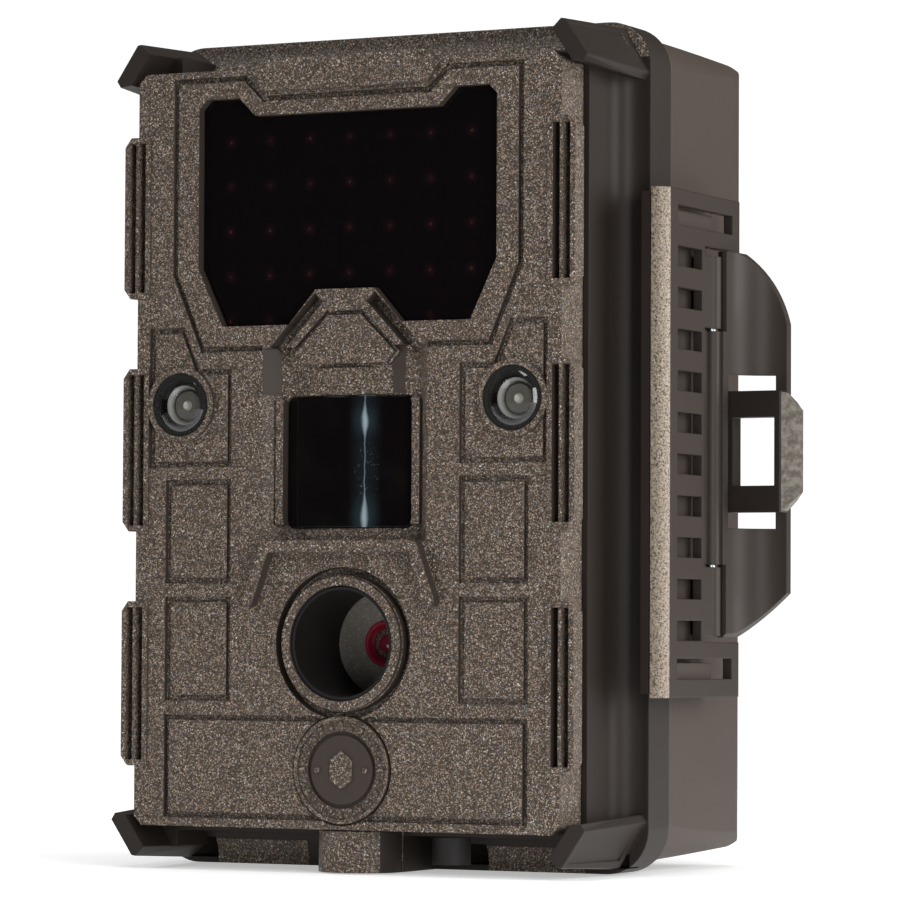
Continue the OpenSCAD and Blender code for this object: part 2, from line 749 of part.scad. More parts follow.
module latch_lugs() {
    for (z = lug_ranges) {
        rod_z(pivot_x, pivot_y, z[0], z[1], pivot_r);
        box([pivot_x - pivot_r, pivot_x + 1.3], [pivot_y, 30], z);
        box([43, pivot_x + 1.3], [23, 30], z);
    }
}
module rear_shell() {
    color(smooth_brown) difference() {
        union() {
            difference() {
                union() {
                    rear_outer(0);
                    rear_flange();
                }
                intersection() {
                    union() {
                        rear_outer(wall + 0.2);
                        box([-cavity_half - 4, cavity_half + 4], [rear_y0 - 1, rear_y0 + 1],
                            [5, case_h - 5]);
                    }
                    box([-60, 60], [0, rear_y1 - wall - 1.3], [0, case_h]);
                }
            }
            latch_lugs();
            for (k = rear_knuckles) {
                rod_z(hinge_x, parting_y, k[0], k[1], hinge_r);
                box([hinge_x, -rear_half[0] + 1], [rear_y0, rear_y0 + 5], k);
            }
            left_and_right() box([13, 23], [40, rear_y1 - 4], [0, 4.5]);
            for (x = [-1, 1], z = [1, 2]) rod_y(x * cover_post[0], cover_post[z], 33.3, rear_y1 - 2, 3);
        }
        rod_z(hinge_x, parting_y, 0, case_h, hinge_pin_r);
        rod_z(pivot_x, pivot_y, 20, 120, lever_pin_r);
        for (x = [-1, 1], z = [1, 2]) rod_y(x * cover_post[0], cover_post[z], 28, 41, 1);
        for (x = bracket_screw_x, z = bracket_screw_z) rod_y(x, z, rear_y1 - 3.3, rear_y1 + 1, 1.1);
    }
}
module bracket_rib() {
    difference() {
        along_x(rib_x[0], rib_x[1]) polygon(concat(
            [[rear_y1 + bracket_t - 0.1, bracket_z[0] + 3], [rear_y1 + bracket_t - 0.1, bracket_z[1] - 3]],
            [for (i = [0:18]) [rib_y1 - (i % 2) * 1.4, bracket_z[1] - 9 - i * 5]]));
        for (s = [-1, 1]) box([rib_x[0] - 1, rib_x[1] + 1],
            [rear_y1 + bracket_t - 0.1, rear_y1 + bracket_t + slot_depth],
            [cable_z + s * strap_z - strap_w / 2 - 1, cable_z + s * strap_z + strap_w / 2 + 1]);
    }
}
module strap_bracket() {
    color("#2c2724") difference() {
        union() {
            along_y(rear_y1, rear_y1 + bracket_t) rounded([-bracket_half, bracket_half], bracket_z, 5);
            left_and_right() bracket_rib();
            left_and_right() rod_x(cable_y, cable_z, rib_x[0], rib_x[1], cable_r + 2);
        }
        box([-60, 60], [0, rear_y1], [0, case_h]);
        rod_x(cable_y, cable_z, -60, 60, cable_r);
        for (x = bracket_screw_x, z = bracket_screw_z) rod_y(x, z, rear_y1 - 1, rear_y1 + bracket_t + 1, 1.4);
        along_y(rear_y1 - 1, rear_y1 + bracket_t + 1) rounded([-12, 12], [45, 95], 3);
    }
}
module bracket_screws() {
    color(metal) for (x = bracket_screw_x, z = bracket_screw_z)
        screw_y(x, z, rear_y1 - 3.2, rear_y1 + bracket_t + 1.3, 1.1, 2.4, 1.3);
}
module battery_tray() {
    color("#1e1c1c") difference() {
        box([-tray_half, tray_half], [33.6, rear_y1 - wall - 1.4], [9.5, 130.5]);
        box([-tray_half + 1.4, tray_half - 1.4], [32, cell_y + cell_d / 2 + 0.3], [11.5, 128.5]);
    }
    color("#1e1c1c") for (x = [-1, 0, 1])
        box([x * cell_pitch - 0.3, x * cell_pitch + 0.3], [44, cell_y + cell_d / 2 + 0.4], [20, 120]);
}
module battery_cover() {
    color(smooth_brown) difference() {
        union() {
            along_y(31.2, 33.2) rounded([-38.5, 38.5], [8.5, 131.5], 4);
            along_y(29.8, 31.3) rounded([-24, 24], [58, 82], 4);
        }
        along_y(29, 32.2) rounded([-14, 14], [64, 76], 3);
        for (z = [30:6:48]) box([-24, 24], [31, 31.8], [z, z + 2]);
        for (z = [92:6:116]) box([-20, 20], [31, 31.8], [z, z + 2]);
        for (x = [-1, 1], z = [1, 2]) rod_y(x * cover_post[0], cover_post[z], 28, 34, 1.3);
        for (x = spring_x) rod_y(x, spring_z, 28, 34, 2);
    }
}
module cover_screws() {
    color(metal) for (x = [-1, 1], z = [1, 2]) mirror([0, 1, 0])
        screw_y(x * cover_post[0], cover_post[z], -40, -29.9, 1, 2.6, 1.3);
}
module aa_cells() {
    color("#b4702c") for (i = [-1.5:1.5], z = cell_rows) {
        rod_z(i * cell_pitch, cell_y, z, z + cell_l - 1, cell_d / 2);
        rod_z(i * cell_pitch, cell_y, z + cell_l - 1, z + cell_l, 2.7);
    }
}
module battery_springs() {
    color(metal) for (i = [-1.5:1.5], z = cell_rows)
        translate([i * cell_pitch, cell_y, z - 4.6]) cylinder(r1 = 4.6, r2 = 2.6, h = 4.6);
}
module contact_strips() {
    color("#c0b48a") for (i = [-1.5:1.5]) {
        box([i * cell_pitch - 5, i * cell_pitch + 5], [cell_y - 5, cell_y + 5], [11.6, 12.2]);
        box([i * cell_pitch - 5, i * cell_pitch + 5], [cell_y - 5, cell_y + 5],
            [cell_rows[1] + cell_l + 0.1, 128.4]);
    }
}
module transfer_posts() {
    color("#c49a45") for (x = spring_x) rod_y(x, spring_z, 20.7, 33.4, 1.9);
}
module padlock_staple() {
    color(smooth_brown) difference() {
        along_z(staple_z[0], staple_z[1]) polygon([[45.3, staple_y], [60.9, staple_y],
            [64.3, staple_y + 2.2], [62.8, staple_y + staple_t], [45.3, staple_y + staple_t]]);
        box(eye_x, [staple_y - 1, staple_y + staple_t + 1], eye_z);
        for (side = [0, 1]) translate([64.6, 0, staple_z[side]]) rotate([0, 45, 0])
            box([-2.6, 2.6], [staple_y - 1, staple_y + staple_t + 1], [-2.6, 2.6]);
    }
}
module hinge_pin() {
    color(metal) rod_z(hinge_x, parting_y, front_knuckles[0][0], front_knuckles[2][1], hinge_pin_r);
}
module lever_pin() {
    color(metal) rod_z(pivot_x, pivot_y, lug_ranges[0][0], lug_ranges[1][1], lever_pin_r);
}

// ---- latch ----

module flap_profile() {
    translate([flap_x - flap_r - flap_t / 2, barrel_y]) square([flap_t, flap_y - barrel_y]);
    intersection() {
        translate([flap_x, flap_y]) difference() {
            circle(flap_r + flap_t / 2, $fn = 96);
            circle(flap_r - flap_t / 2, $fn = 96);
        }
        translate([flap_x - 20, flap_y - 0.1]) square([20, 20]);
    }
}
module flap_outline() {
    corner_z = [46.2, 91.2];
    intersection() {
        polygon([[40, flap_bottom], [51.5, flap_bottom], [flap_x, corner_z[0]], [flap_x, flap_top],
            [40, flap_top]]);
        union() {
            translate([35.94, 85.74]) circle(24, $fn = 128);
            translate([40, 30]) square([30, corner_z[1] - 30]);
        }
    }
}
module latch_lever() {
    color(smooth_brown) difference() {
        union() {
            rod_z(pivot_x, pivot_y, 35, 104, pivot_r);
            box([pivot_x - 0.9, pivot_x + 0.9], [pivot_y, 25.4], [36, 103]);
            rod_z(barrel_x, barrel_y, lever_knuckle[0], lever_knuckle[1], barrel_r);
            box([pivot_x - 0.9, barrel_x], [25, barrel_y + 0.5], lever_knuckle);
            intersection() {
                along_z(flap_bottom, flap_top) flap_profile();
                along_y(0, 60) flap_outline();
            }
        }
        rod_z(pivot_x, pivot_y, 20, 120, lever_pin_r + 0.05);
        rod_z(barrel_x, barrel_y, 20, 120, hook_pin_r);
        for (k = hook_knuckles) {
            above = k[0] > lever_knuckle[0];
            z = above ? [lever_knuckle[1] - 0.01, k[1] + 5] : [k[0] - 5, lever_knuckle[0] + 0.01];
            rod_z(barrel_x, barrel_y, z[0], z[1], barrel_r + gap);
            box([barrel_x, barrel_x + 4], [barrel_y - 2, barrel_y + 1.4], z);
        }
        box([48, slot_x], [29.9, 60], slot_z);
    }
}
module hook_pin() {
    color(metal) rod_z(barrel_x, barrel_y, hook_knuckles[0][0], hook_knuckles[1][1], hook_pin_r);
}
module hook_plan(y1) {
    r = 2;
    inner = hook_x - hook_t;
    translate([inner, hook_y0 + r]) square([hook_t, y1 - hook_y0 - r]);
    lip_x = 48.3;
    lip_t = 3.6;
    translate([lip_x, hook_y0]) square([hook_x - r - lip_x, lip_t]);
    translate([hook_x - r, hook_y0 + r]) square([r, lip_t - r]);
    intersection() {
        translate([hook_x - r, hook_y0 + r]) circle(r);
        translate([hook_x - r, hook_y0]) square([r, r]);
    }
}
module latch_hook() {
    window_pitch = 6.8;
    first_window = 101.05;
    color(smooth_brown) difference() {
        union() {
            along_z(hook_z, hook_top) hook_plan(hook_mid_y);
            for (z = [[hook_z, notch_z[0]], [notch_z[1], hook_top]])
                along_z(z[0], z[1]) hook_plan(hook_end_y);
            for (k = hook_knuckles) {
                rod_z(barrel_x, barrel_y, k[0], k[1], barrel_r);
                box([hook_x - hook_t, hook_x], [hook_mid_y - 0.1, barrel_y], k);
            }
        }
        for (i = [0:9]) {
            z = first_window - i * window_pitch;
            box([hook_x - hook_t - 0.2, hook_x + 1], [12, 21.8], [z - 1.65, z + 1.65]);
        }
        for (z = [[31.9, 35.3], [106.2, 109.4]])
            box([hook_x - hook_t - 0.2, hook_x + 1], [12, 34.3], z);
        rod_z(barrel_x, barrel_y, 20, 120, hook_pin_r + 0.05);
    }
}

front_housing();
faceplate();
badge();
ir_window();
pir_window();
indicator_lens_left();
indicator_lens_right();
indicator_leds();
ir_led_board();
ir_leds();
pir_sensor();
lens_tube();
lens_holder();
lens_barrel();
lens_glass();
ir_filter();
filter_frame();
image_sensor_board();
main_board();
control_panel();
lcd_module();
lcd_window();
up_key();
down_key();
left_key();
right_key();
ok_key();
menu_key();
power_switch();
sd_socket();
sd_card();
usb_socket();
dc_jack();
dc_plug();
tripod_insert();
spring_pins();
panel_screws();
board_screws();
case_gasket();
hinge_pin();
rear_shell();
strap_bracket();
bracket_screws();
battery_tray();
battery_cover();
cover_screws();
aa_cells();
battery_springs();
contact_strips();
transfer_posts();
padlock_staple();
lever_pin();
latch_lever();
hook_pin();
latch_hook();
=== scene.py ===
"""Trail camera: finishes, fine detail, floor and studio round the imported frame."""

import math

import bpy
from mathutils import Matrix, Vector


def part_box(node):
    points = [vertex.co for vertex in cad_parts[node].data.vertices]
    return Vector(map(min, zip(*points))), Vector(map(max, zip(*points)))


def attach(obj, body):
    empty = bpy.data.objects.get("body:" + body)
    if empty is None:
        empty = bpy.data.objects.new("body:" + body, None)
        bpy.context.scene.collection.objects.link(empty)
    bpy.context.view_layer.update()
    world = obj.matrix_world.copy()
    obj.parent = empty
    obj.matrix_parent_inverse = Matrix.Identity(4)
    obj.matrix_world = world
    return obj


bl_info = {
    "name": "Trail Camera Finishes",
    "version": (1, 0, 0),
    "blender": (4, 5, 0),
    "location": "3D View > Sidebar > Trail Camera",
    "description": "Gives the trail camera its finishes, its small parts and a studio to stand in",
    "category": "Object",
}

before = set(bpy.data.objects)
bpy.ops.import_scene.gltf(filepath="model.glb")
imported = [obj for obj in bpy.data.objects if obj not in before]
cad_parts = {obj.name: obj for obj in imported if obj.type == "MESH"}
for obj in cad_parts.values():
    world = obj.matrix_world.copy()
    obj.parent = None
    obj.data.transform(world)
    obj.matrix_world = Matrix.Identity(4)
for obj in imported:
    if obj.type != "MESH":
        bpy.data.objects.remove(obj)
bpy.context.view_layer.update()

MM = 0.001
CREASE = math.radians(32)
ROUNDING = 0.35 * MM
CLOUD_DEPTH = 0.8

# Places and sizes on the camera, measured from the mouth of its tripod socket.
PLATE_HALF = 38.8 * MM
BROW_Z = 78.5 * MM
BADGE_Z = 16.8 * MM
BADGE_FACE = -8.22 * MM
BADGE_FIELD = 6.3 * MM
STAPLE_FACE = 61.2 * MM
LIP_BACK = 11 * MM
LENS_Z = 37.5 * MM
LENS_COLLAR = 1.45 * MM
TUBE_FLOOR = 4 * MM
DOME_X = 30.9 * MM
DOME_Z = 77.2 * MM
PIR_Z = 67.3 * MM
PIR_HALF = 10.8 * MM
# Painted reflection: across-position of the upright highlight painted on the motion window.
PAINTED_REFLECTION_X = 3.9 * MM
FIRST_LAMP_ROW = 98.5 * MM
SCREEN_HALF = 18.3 * MM
SCREEN_FOOT = 84.6 * MM
SCREEN_HEAD = 115.4 * MM
KEY_FACE = 18.9 * MM
COVER_FACE = 31.2 * MM
CELL_COLUMNS = (-22.5 * MM, -7.5 * MM, 7.5 * MM, 22.5 * MM)
CELL_ROW_PITCH = 55.5 * MM
MINUS_Z = 56 * MM
PLUS_Z = 86 * MM

# Colours used in more than one place.
WHITE = (1.0, 1.0, 1.0, 1.0)
TUBE_BLACK = (0.012, 0.01, 0.01)
LENS_RED = (0.3, 0.01, 0.03)
BOARD_GREEN = (0.012, 0.09, 0.04)
SLEEVE_COPPER = (0.5, 0.26, 0.07)

KEYS = ("up_key", "down_key", "left_key", "right_key", "ok_key", "menu_key")


# ---- shader language ----

class Value:
    """A socket of a finish. Arithmetic and comparisons on it add Math nodes."""

    def __init__(self, finish, socket):
        self.finish = finish
        self.socket = socket

    def out(self, name):
        return Value(self.finish, self.socket.node.outputs[name])

    def math(self, operation, first, second=0.0):
        return self.finish.node("ShaderNodeMath", {"operation": operation}, {0: first, 1: second})

    def __add__(self, other):
        return self.math("ADD", self, other)

    __radd__ = __add__

    def __sub__(self, other):
        return self.math("SUBTRACT", self, other)

    def __rsub__(self, other):
        return self.math("SUBTRACT", other, self)

    def __mul__(self, other):
        return self.math("MULTIPLY", self, other)

    __rmul__ = __mul__

    def __truediv__(self, other):
        return self.math("DIVIDE", self, other)

    def __rtruediv__(self, other):
        return self.math("DIVIDE", other, self)

    def __pow__(self, other):
        return self.math("POWER", self, other)

    def __gt__(self, other):
        return self.math("GREATER_THAN", self, other)

    def __lt__(self, other):
        return self.math("LESS_THAN", self, other)

    def __abs__(self):
        return self.math("ABSOLUTE", self)


def largest(first, second):
    return first.math("MAXIMUM", first, second)


def smallest(first, second):
    return first.math("MINIMUM", first, second)


def between(value, low, high):
    return (value > low) * (value < high)


def repeat(value, pitch):
    """Distance from the nearest multiple of the pitch."""
    return abs(value.finish.wrap(value, -pitch / 2, pitch / 2))


class Finish:
    """One material: a Principled shader and the nodes that feed it."""

    def __init__(self, name, colour, roughness=0.5, **constants):
        self.material = bpy.data.materials.new(name)
        self.material.use_nodes = True
        self.tree = self.material.node_tree
        self.tree.nodes.clear()
        self.shader = self.tree.nodes.new("ShaderNodeBsdfPrincipled")
        surface = self.tree.nodes.new("ShaderNodeOutputMaterial")
        self.tree.links.new(self.shader.outputs["BSDF"], surface.inputs["Surface"])
        self.feed("Base Color", colour)
        self.feed("Roughness", roughness)
        for key, value in constants.items():
            self.feed(key.replace("_", " "), value)

    def give(self, socket, value):
        if isinstance(value, Value):
            self.tree.links.new(value.socket, socket)
        elif isinstance(value, (tuple, list)) and len(value) == 3 and socket.type == "RGBA":
            socket.default_value = (*value, 1.0)
        else:
            socket.default_value = value

    def feed(self, name, value):
        self.give(self.shader.inputs[name], value)

    def node(self, kind, settings=None, sockets=None, output=0):
        """Adds a node, sets it up, joins its inputs and returns one of its outputs."""
        made = self.tree.nodes.new(kind)
        for key, value in (settings or {}).items():
            if key == "stops":
                ramp = made.color_ramp
                while len(ramp.elements) < len(value):
                    ramp.elements.new(1.0)
                for element, (position, colour) in zip(ramp.elements, value):
                    element.position = position
                    element.color = (*colour, 1.0)
            elif key == "interpolation":
                made.color_ramp.interpolation = value
            else:
                setattr(made, key, value)
        for key, value in (sockets or {}).items():
            self.give(made.inputs[key], value)
        return Value(self, made.outputs[output])

    def wrap(self, value, low, high):
        return self.node("ShaderNodeMath", {"operation": "WRAP"}, {0: value, 1: high, 2: low})

    def place(self):
        """Coordinates fixed to the piece, in metres."""
        return self.node("ShaderNodeTexCoord", output="Object")

    def facing(self):
        """The surface's own direction, fixed to the piece."""
        return self.node("ShaderNodeTexCoord", output="Normal")

    def parts(self, vector):
        first = self.node("ShaderNodeSeparateXYZ", {}, {0: vector})
        return first, first.out("Y"), first.out("Z")

    def blend_colour(self, mask, off, on):
        return self.node("ShaderNodeMix", {"data_type": "RGBA"}, {0: mask, 6: off, 7: on}, output=2)

    def blend_vector(self, mask, off, on):
        return self.node("ShaderNodeMix", {"data_type": "VECTOR"}, {0: mask, 4: off, 5: on}, output=1)

    def vector(self, operation, *values):
        return self.node("ShaderNodeVectorMath", {"operation": operation}, dict(enumerate(values)))

    def rounded_edges(self, radius=ROUNDING):
        return self.node("ShaderNodeBevel", {"samples": 4}, {"Radius": radius})

    def noise(self, scale, detail=3.0, roughness=0.55, vector=None):
        return self.node("ShaderNodeTexNoise", {}, {
            "Vector": vector or self.place(), "Scale": scale, "Detail": detail, "Roughness": roughness})

    def bump(self, height, distance, strength=1.0, normal=None):
        return self.node("ShaderNodeBump", {}, {
            "Strength": strength, "Distance": distance, "Height": height,
            "Normal": normal or self.rounded_edges()})

    def soft_step(self, value, low, high):
        return self.node("ShaderNodeMapRange", {"interpolation_type": "SMOOTHSTEP"}, {
            "Value": value, "From Min": low, "From Max": high, "To Min": 0.0, "To Max": 1.0})


# ---- what a user would change ----

def colour_setting(name, description, default):
    return bpy.props.FloatVectorProperty(
        name=name, description=description, default=default, size=3, min=0.0, max=1.0, subtype="COLOR")


def length_setting(name, description, default):
    return bpy.props.FloatProperty(
        name=name, description=description, default=default, min=0.0, unit="LENGTH", precision=5)


def factor_setting(name, description, default):
    return bpy.props.FloatProperty(
        name=name, description=description, default=default, min=0.0, max=1.0, subtype="FACTOR")


def level_setting(name, description, default):
    return bpy.props.FloatProperty(name=name, description=description, default=default, min=0.0)


def power_setting(name, description, default):
    return bpy.props.FloatProperty(
        name=name, description=description, default=default, min=0.0, unit="POWER")


class PaintSettings(bpy.types.PropertyGroup):
    """Flake paint of the faceplate and the strips that match it."""

    base: colour_setting("Base", "Colour of the paint between its flakes", (0.078, 0.058, 0.044))
    dark: colour_setting("Dark", "Colour of the deepest grains", (0.028, 0.021, 0.0165))
    gold: colour_setting("Gold", "Colour of the warm flakes", (0.36, 0.265, 0.17))
    pale: colour_setting("Pale", "Colour of the brightest flakes", (0.66, 0.61, 0.54))
    flake: length_setting("Flake", "Width of one flake", 0.18 * MM)
    tilt: factor_setting("Tilt", "How far flakes lean out of the surface", 0.34)


class PlasticSettings(bpy.types.PropertyGroup):
    """Smooth moulded plastic of the shells and the latch."""

    colour: colour_setting("Colour", "Colour of the moulded plastic", (0.05, 0.038, 0.0315))
    inner: colour_setting("Inner", "Colour of the parts inside the case", (0.03, 0.026, 0.024))
    roughness: factor_setting("Roughness", "Roughness of the moulded plastic", 0.44)
    sheen: factor_setting("Sheen", "Strength of its reflections", 0.2)


class WindowSettings(bpy.types.PropertyGroup):
    """Black windows, with a painted glow of the lamps behind the upper one."""

    gloss: colour_setting("Gloss", "Colour of the black windows", (0.0025, 0.0015, 0.002))
    lamp: colour_setting("Lamp", "Colour of the lamps behind the window", (0.26, 0.07, 0.08))
    pitch: length_setting("Lamp pitch", "Distance between neighbouring lamps", 7.5 * MM)
    halo: length_setting("Halo", "Radius of the glow round a lamp", 1.9 * MM)


class StudioSettings(bpy.types.PropertyGroup):
    """Floor and lights."""

    floor: colour_setting("Floor", "Colour of the floor", (0.8, 0.8, 0.8))
    glow: level_setting("Glow", "Brightness of the floor before any light falls on it", 0.42)
    backdrop: level_setting("Backdrop", "Brightness of the backdrop", 1.05)
    fill: level_setting("Fill", "Brightness of the light from all round", 0.05)
    key: power_setting("Key", "Power of the large light behind the latch side", 15.5)
    side: power_setting("Side", "Power of the light beside the latch", 1.0)
    front: power_setting("Front", "Power of the light high in front", 4.6)
    top: power_setting("Top", "Power of the light overhead", 12.0)


SETTINGS = {
    "trail_camera_paint": PaintSettings,
    "trail_camera_plastic": PlasticSettings,
    "trail_camera_window": WindowSettings,
    "trail_camera_studio": StudioSettings,
}


# ---- shared finishes ----

def coat(names, finish):
    """Gives nodes of the frame a finish and smooth shading with creased edges."""
    for name in names:
        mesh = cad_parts[name].data
        mesh.materials.clear()
        mesh.materials.append(finish.material)
        mesh.shade_smooth()
        mesh.set_sharp_from_angle(angle=CREASE)


def flake_paint(finish, paint, normal):
    """Colour and normal of brown paint with fine flakes of several tints."""
    cell = finish.node("ShaderNodeTexVoronoi", {"feature": "F1"}, {
        "Vector": finish.place(), "Scale": 1 / paint.flake})
    tint = cell.out("Color")
    grain = finish.node("ShaderNodeSeparateColor", {}, {"Color": tint})
    level = grain.out("Red")
    hue = grain.out("Green")
    flake_tint = finish.node("ShaderNodeValToRGB", {"interpolation": "CONSTANT", "stops": [
        (0.0, tuple(paint.gold)), (0.38, (0.3, 0.27, 0.24)), (0.6, (0.34, 0.21, 0.18)),
        (0.76, (0.19, 0.22, 0.27)), (0.88, tuple(paint.pale))]}, {0: hue})
    ground = finish.node("ShaderNodeValToRGB", {"interpolation": "LINEAR", "stops": [
        (0.0, tuple(paint.dark)), (0.5, tuple(paint.base)), (0.78, (0.13, 0.105, 0.083)),
        (1.0, (0.16, 0.13, 0.1))]}, {0: level})
    is_flake = finish.soft_step(level, 0.72, 0.86)
    clouds = finish.noise(220, 2.0)
    colour = finish.blend_colour(is_flake * 0.8, ground, flake_tint)
    colour = finish.blend_colour(finish.soft_step(clouds, 0.35, 0.75) * 0.18, colour, tuple(paint.base))
    lean = finish.vector("SUBTRACT", tint, (0.5, 0.5, 0.5))
    leaned = finish.vector("MULTIPLY_ADD", lean, (paint.tilt,) * 3, normal)
    return colour, finish.vector("NORMALIZE", leaned)


def moulded(finish, normal):
    """Normal of moulded plastic with the very fine texture of its mould."""
    return finish.bump(finish.noise(2600, 2.0), 0.02 * MM, 0.35, normal)


def plain_finish(name, colour, roughness, grain=1800, depth=0.02 * MM, **constants):
    """One colour with a fine grain of the given scale and depth."""
    finish = Finish(name, colour, roughness, **constants)
    finish.feed("Normal", finish.bump(finish.noise(grain, 2.0), depth, 0.5))
    return finish


def moulding_colour(finish, moulding):
    """The colour of moulded plastic with faint darker clouds."""
    clouds = finish.soft_step(finish.noise(90, 3.0), 0.3, 0.75)
    return finish.blend_colour(clouds * 0.25, moulding, tuple(CLOUD_DEPTH * part for part in moulding))


def one_tone(name, plastic, painted_brightness):
    """Moulded plastic in a copy scaled lighter or darker: painted light and shade on one material."""
    moulding = tuple(painted_brightness * part for part in plastic.colour)
    finish = Finish(name, moulding, plastic.roughness, Specular_IOR_Level=plastic.sheen)
    finish.feed("Base Color", moulding_colour(finish, moulding))
    finish.feed("Normal", moulded(finish, finish.rounded_edges()))
    return finish


def two_tone(name, plastic, paint, mask_of, painted_brightness=1.0, painted_highlight=0.0):
    """Moulded plastic in a copy scaled lighter or darker as painted light and shade, with flake paint where
    mask_of says so, lifted by patches of painted highlight.
    """
    moulding = tuple(painted_brightness * part for part in plastic.colour)
    finish = Finish(name, moulding, plastic.roughness, Specular_IOR_Level=plastic.sheen)
    mask = mask_of(*finish.parts(finish.place()), *finish.parts(finish.facing()))
    edges = finish.rounded_edges()
    painted, leaned = flake_paint(finish, paint, edges)
    # Painted highlight: noisy pale patches laid on the paint, at the strength of the last argument.
    highlight_patches = finish.soft_step(finish.noise(3400, 2.0), 0.3, 0.62) * painted_highlight
    painted = finish.blend_colour(highlight_patches, painted, (0.4, 0.335, 0.26))
    plain = moulding_colour(finish, moulding)
    finish.feed("Base Color", finish.blend_colour(mask, plain, painted))
    finish.feed("Roughness", plastic.roughness - 0.04 * mask)
    finish.feed("Normal", finish.blend_vector(mask, moulded(finish, edges), leaned))
    return finish


# ---- small shapes ----

def new_piece(name, vertices, faces, finish, body, slot, smooth=False):
    """A mesh piece that rides on a body of the frame."""
    mesh = bpy.data.meshes.new(name)
    mesh.from_pydata(vertices, [], faces)
    mesh.update()
    mesh.materials.append(finish.material)
    if smooth:
        mesh.shade_smooth()
        mesh.set_sharp_from_angle(angle=CREASE)
    piece = bpy.data.objects.new(name, mesh)
    bpy.context.collection.objects.link(piece)
    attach(piece, body)
    return piece


def slab_shape(outlines, low, high):
    """Prisms standing along Y over outlines given as (x, z) points."""
    vertices = []
    faces = []
    for outline in outlines:
        start = len(vertices)
        count = len(outline)
        vertices += [(x, low, z) for x, z in outline] + [(x, high, z) for x, z in outline]
        faces.append([start + i for i in range(count)])
        faces.append([start + count + i for i in reversed(range(count))])
        for i in range(count):
            after = (i + 1) % count
            faces.append([start + i, start + count + i, start + count + after, start + after])
    return vertices, faces


def turned_shape(profile, centre, segments=48):
    """A surface of revolution about an axis along Y; the profile is (radius, y) points."""
    vertices = []
    faces = []
    rows = len(profile)
    for step in range(segments):
        angle = 2 * math.pi * step / segments
        for radius, y in profile:
            vertices.append((centre[0] + radius * math.cos(angle), y, centre[1] + radius * math.sin(angle)))
    for step in range(segments):
        after = (step + 1) % segments
        for row in range(rows - 1):
            here = step * rows + row
            there = after * rows + row
            faces.append([here, here + 1, there + 1, there])
    return vertices, faces


def circle_outline(centre, radius, count=32):
    return [(centre[0] + radius * math.cos(2 * math.pi * i / count),
             centre[1] + radius * math.sin(2 * math.pi * i / count)) for i in range(count)]


def bar_outline(centre, width, height):
    x, z = centre
    return [(x - width / 2, z - height / 2), (x + width / 2, z - height / 2),
            (x + width / 2, z + height / 2), (x - width / 2, z + height / 2)]


def centre_of(name):
    low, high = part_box(name)
    return (low + high) / 2


# ---- operators ----

class TRAILCAM_OT_paint_front(bpy.types.Operator):
    """Paint the faceplate and the badge with flake paint"""

    bl_idname = "trailcam.paint_front"
    bl_label = "Paint faceplate and badge"

    def execute(self, context):
        paint = context.scene.trail_camera_paint
        plastic = context.scene.trail_camera_plastic

        def painted_faces(x, y, z, across, depth, up):
            """Inside the rim only what looks forward, less the upper slopes that lean right."""
            inner = abs(x) < PLATE_HALF
            shaded = 1.0 - (depth < -0.5) * (1.0 - (across > 0.35) * (z > BROW_Z))
            return 1.0 - inner * shaded

        coat(["faceplate"], two_tone("flake_paint", plastic, paint, painted_faces))

        def badge_faces(x, y, z, across, depth, up):
            """The raised relief, and thinner paint on the band round its field."""
            rise = z - BADGE_Z
            reach = (x * x + rise * rise) ** 0.5
            raised = y < BADGE_FACE
            band = (reach > BADGE_FIELD) * 0.6
            return largest(raised, band) * (depth < -0.5)

        coat(["badge"], two_tone("badge_paint", plastic, paint, badge_faces))
        return {"FINISHED"}


class TRAILCAM_OT_mould_shells(bpy.types.Operator):
    """Give both shells, the panel and the covers their moulded plastic"""

    bl_idname = "trailcam.mould_shells"
    bl_label = "Mould shells"

    def execute(self, context):
        paint = context.scene.trail_camera_paint
        plastic = context.scene.trail_camera_plastic

        def front_strips(x, y, z, across, depth, up):
            """The front edges over and under the faceplate, and the boss at the foot."""
            wide = abs(x)
            beside = (wide > 40 * MM) * between(z, 6 * MM, 134 * MM)
            front = (depth < -0.8) * between(y, 7.2 * MM, 12.3 * MM) * (1.0 - beside)
            foot = (z < 6.2 * MM) * (1.0 - between(wide, 17 * MM, 34.6 * MM))
            boss = (z < 6.9 * MM) * (y < 2 * MM) * (wide < 7.3 * MM) * (depth < -0.6)
            return largest(front * (1.0 - foot), boss)

        # Painted shade: the front shell is a copy of the plastic at half brightness, for the shade in the
        # cove beside the faceplate.
        coat(["front_housing"], two_tone("front_shell_plastic", plastic, paint, front_strips, 0.5))

        # Painted light: the rear shell is a copy of the plastic at 1.3 times its brightness, for the light
        # on its side.
        coat(["rear_shell"], one_tone("rear_shell_plastic", plastic, 1.3))
        # Painted shade and light: the staple is a copy of the plastic at 0.4 brightness, and its outward
        # faces past STAPLE_FACE carry a mottled painted sheen.
        dark = tuple(0.4 * part for part in plastic.colour)
        shell = Finish("staple_plastic", dark, plastic.roughness, Specular_IOR_Level=plastic.sheen)
        x = shell.parts(shell.place())[0]
        across = shell.parts(shell.facing())[0]
        outer = (across > 0.3) * (x > STAPLE_FACE)
        mottle = shell.soft_step(shell.noise(700, 3.0, 0.7), 0.35, 0.7)
        painted_sheen = shell.blend_colour(mottle, (0.085, 0.072, 0.058), (0.21, 0.19, 0.158))
        shell.feed("Base Color", shell.blend_colour(outer, dark, painted_sheen))
        shell.feed("Normal", moulded(shell, shell.rounded_edges()))
        coat(["padlock_staple"], shell)
        inner = plain_finish("inner_plastic", tuple(plastic.inner), 0.55, 1400, 0.04 * MM)
        coat(["control_panel", "battery_cover", "battery_tray"], inner)
        coat(["strap_bracket"], plain_finish("bracket_plastic", (0.03, 0.026, 0.024), 0.6, 900, 0.08 * MM))
        coat(["case_gasket"], plain_finish("gasket_rubber", (0.018, 0.017, 0.017), 0.75))
        return {"FINISHED"}


